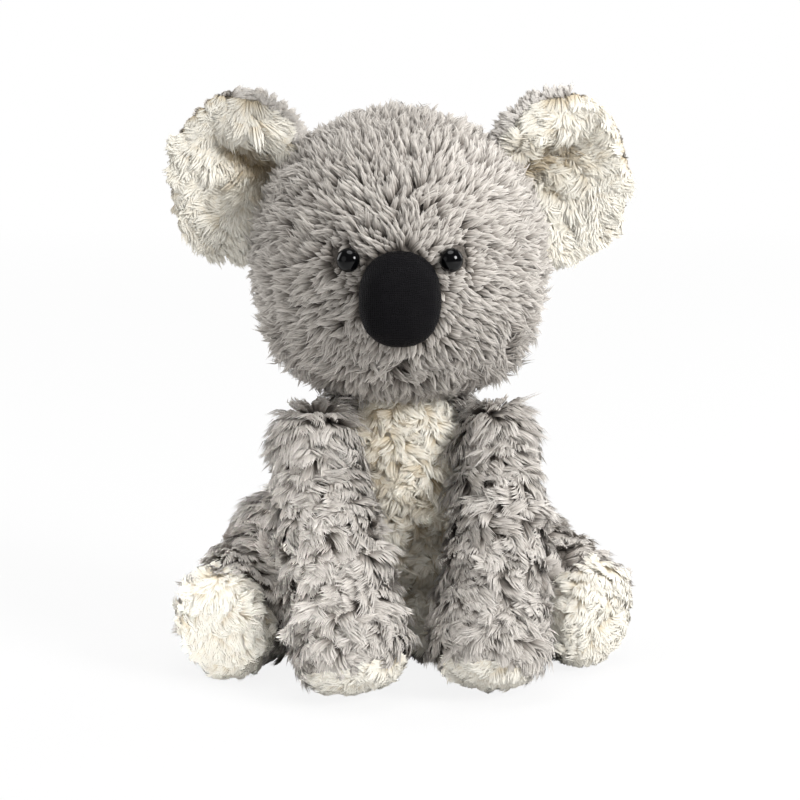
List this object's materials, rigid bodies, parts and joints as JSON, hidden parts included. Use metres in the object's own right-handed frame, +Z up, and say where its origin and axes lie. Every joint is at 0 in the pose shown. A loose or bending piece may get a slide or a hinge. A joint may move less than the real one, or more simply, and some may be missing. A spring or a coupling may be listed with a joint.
{
  "type": "plush koala",
  "caption": "Sitting plush koala with a round head, cupped ears, an oval nose, and head, arms, legs and ears that move at their seams.",
  "frame": {"origin": "on the flat underside of the seat, below the middle of the body", "axes": "+Z up from the floor, the toy faces -Y, and its own left is +X"},
  "size_m": [0.2404, 0.1944, 0.2948],
  "materials": {
    "grey_plush": "long-pile plush, tips lighter than roots",
    "cream_plush": "long-pile plush",
    "nose_cloth": "matt woven cloth",
    "eye_gloss": "polished",
    "stuffing": "loose polyester fibre",
    "washer_plastic": "moulded",
    "pouch_cotton": "plain woven cotton filled with pellets"
  },
  "bodies": {
    "torso": {"body_cover": "grey_plush", "belly_panel": "cream_plush", "body_stuffing": "stuffing", "bean_bag": "pouch_cotton"},
    "neck": {"neck_roll": "stuffing"},
    "head": {"head_cover": "grey_plush", "head_stuffing": "stuffing", "nose_cover": "nose_cloth", "nose_stuffing": "stuffing", "left_eye": "eye_gloss", "right_eye": "eye_gloss", "left_eye_washer": "washer_plastic", "right_eye_washer": "washer_plastic"},
    "left_ear": {"left_ear_back": "grey_plush", "left_ear_lining": "cream_plush"},
    "left_arm": {"left_arm_cover": "grey_plush", "left_paw_sole": "cream_plush", "left_arm_stuffing": "stuffing"},
    "left_leg": {"left_leg_cover": "grey_plush", "left_foot_sole": "cream_plush", "left_leg_stuffing": "stuffing"},
    "right_ear": {"right_ear_back": "grey_plush", "right_ear_lining": "cream_plush"},
    "right_arm": {"right_arm_cover": "grey_plush", "right_paw_sole": "cream_plush", "right_arm_stuffing": "stuffing"},
    "right_leg": {"right_leg_cover": "grey_plush", "right_foot_sole": "cream_plush", "right_leg_stuffing": "stuffing"}
  },
  "joints": [
    {"name": "head_turn", "type": "hinge", "parent": "torso", "child": "neck", "pos_m": [0, -0.008, 0.188], "axis": [0, 0, 1], "range_deg": [-25, 25], "stiffness_Nm_per_rad": 0.8},
    {"name": "head_nod", "type": "hinge", "parent": "neck", "child": "head", "pos_m": [0, -0.008, 0.188], "axis": [0.9925, -0.1219, 0], "range_deg": [-12, 6], "stiffness_Nm_per_rad": 1.2},
    {"name": "left_ear_fold", "type": "hinge", "parent": "head", "child": "left_ear", "pos_m": [0.06782, -0.00625, 0.24668], "axis": [0.466, -0.0572, -0.8829], "range_deg": [-20, 30], "stiffness_Nm_per_rad": 0.06},
    {"name": "left_arm_swing", "type": "hinge", "parent": "torso", "child": "left_arm", "pos_m": [0.0467, -0.028, 0.115], "axis": [-1, 0, 0], "range_deg": [0, 45]},
    {"name": "left_leg_spread", "type": "hinge", "parent": "torso", "child": "left_leg", "pos_m": [0.05, 0.012, 0.0435], "axis": [0, 0, 1], "range_deg": [0, 25]},
    {"name": "right_ear_fold", "type": "hinge", "parent": "head", "child": "right_ear", "pos_m": [-0.06538, 0.0101, 0.24668], "axis": [0.466, -0.0572, 0.8829], "range_deg": [-20, 30], "stiffness_Nm_per_rad": 0.06},
    {"name": "right_arm_swing", "type": "hinge", "parent": "torso", "child": "right_arm", "pos_m": [-0.0467, -0.028, 0.115], "axis": [-1, 0, 0], "range_deg": [0, 45]},
    {"name": "right_leg_spread", "type": "hinge", "parent": "torso", "child": "right_leg", "pos_m": [-0.05, 0.012, 0.0435], "axis": [0, 0, -1], "range_deg": [0, 25]}
  ]
}
